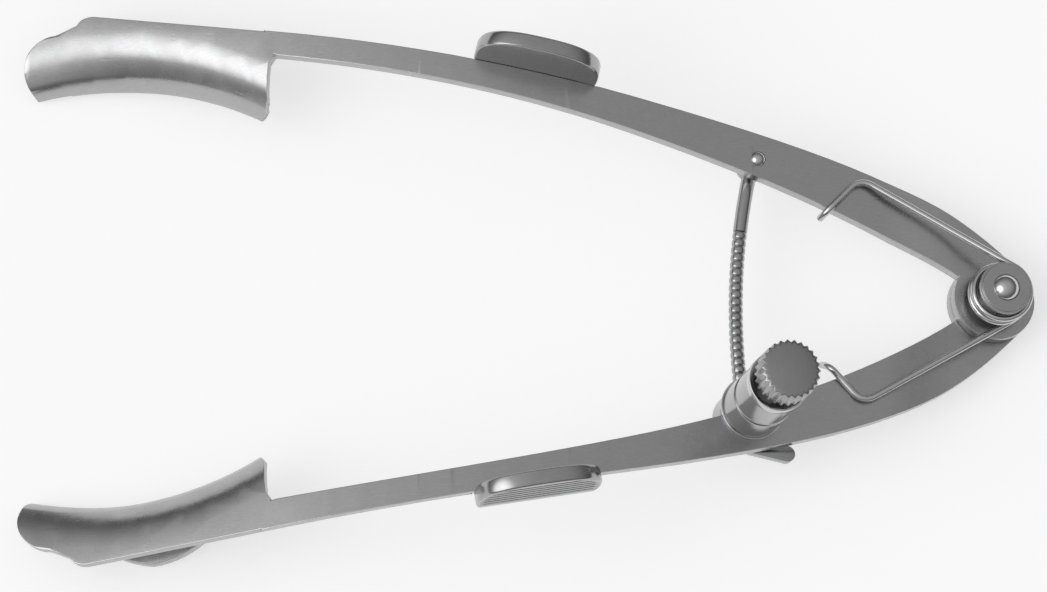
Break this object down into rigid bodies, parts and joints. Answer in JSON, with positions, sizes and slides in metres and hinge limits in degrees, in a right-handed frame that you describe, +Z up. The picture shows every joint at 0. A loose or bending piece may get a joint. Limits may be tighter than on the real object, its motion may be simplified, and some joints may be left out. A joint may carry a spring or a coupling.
{
  "type": "bivalve speculum",
  "caption": "Self-retaining eyelid speculum: hinged arms with rolled blades, sprung apart by a coil spring and held by a curved ringed bar and a thumbscrew clamp.",
  "frame": {"origin": "centre of the flat underside of the hinge pin's foot, with the instrument lying on that foot and on its blades", "axes": "+X from the blades towards the hinge, +Y towards the arm that carries the bar's pivot, +Z up from the table; the hinge axis leans about 12 degrees from +Z towards +X"},
  "size_m": [0.081, 0.0458, 0.019],
  "materials": {
    "arm_steel": "satin, brushed along the piece",
    "pad_steel": "satin, brushed along the piece",
    "bar_steel": "satin, brushed along the piece",
    "clamp_steel": "satin, brushed along the piece",
    "polished_steel": "polished",
    "spring_wire": "polished",
    "turned_steel": "smooth turned"
  },
  "bodies": {
    "lower_half": {"lower_arm": "arm_steel", "lower_finger_pad": "pad_steel", "hinge_pin": "polished_steel", "spring_sleeve": "turned_steel", "cap_washer": "clamp_steel", "torsion_spring": "spring_wire"},
    "upper_half": {"upper_arm": "arm_steel", "upper_finger_pad": "pad_steel", "bar_spacer": "turned_steel", "bar_rivet": "polished_steel"},
    "bar": {"lock_bar": "bar_steel"},
    "clamp": {"clamp_eye": "clamp_steel", "clamp_washer": "polished_steel", "clamp_barrel": "clamp_steel", "clamp_ring": "polished_steel"},
    "pressure_pin": {"lock_pin": "turned_steel"},
    "screw": {"screw_stem": "turned_steel", "thumbscrew_head": "clamp_steel"}
  },
  "joints": [
    {"name": "arm_hinge", "type": "hinge", "parent": "lower_half", "child": "upper_half", "pos_m": [0.00038, 0, 0.00176], "axis": [0.2104, 0, 0.9776], "range_deg": [0, 24], "stiffness_Nm_per_rad": 0.05, "springref_deg": -20.05, "deforming": ["torsion_spring"]},
    {"name": "bar_pivot", "type": "hinge", "parent": "upper_half", "child": "bar", "pos_m": [-0.01883, 0.01047, 0.00421], "axis": [0.2104, 0, 0.9776], "range_deg": [-8.6, 0.1]},
    {"name": "clamp_swivel", "type": "hinge", "parent": "lower_half", "child": "clamp", "pos_m": [-0.01953, -0.01028, 0.00436], "axis": [0.2104, 0, 0.9776], "range_deg": [-0.1, 6.6]},
    {"name": "thumbscrew_travel", "type": "slide", "parent": "clamp", "child": "pressure_pin", "axis": [0.2104, 0, 0.9776], "range_m": [0, 0.0008]},
    {"name": "thumbscrew_turn", "type": "hinge", "parent": "pressure_pin", "child": "screw", "pos_m": [-0.0172, -0.01028, 0.01521], "axis": [0.2104, 0, 0.9776], "range_deg": [0, 720]}
  ],
  "couplings": [
    {"joint": "bar_pivot", "follows": "arm_hinge", "ratio": -0.355},
    {"joint": "clamp_swivel", "follows": "arm_hinge", "ratio": 0.269},
    {"joint": "thumbscrew_turn", "follows": "thumbscrew_travel", "rad_per_m": 15705}
  ]
}
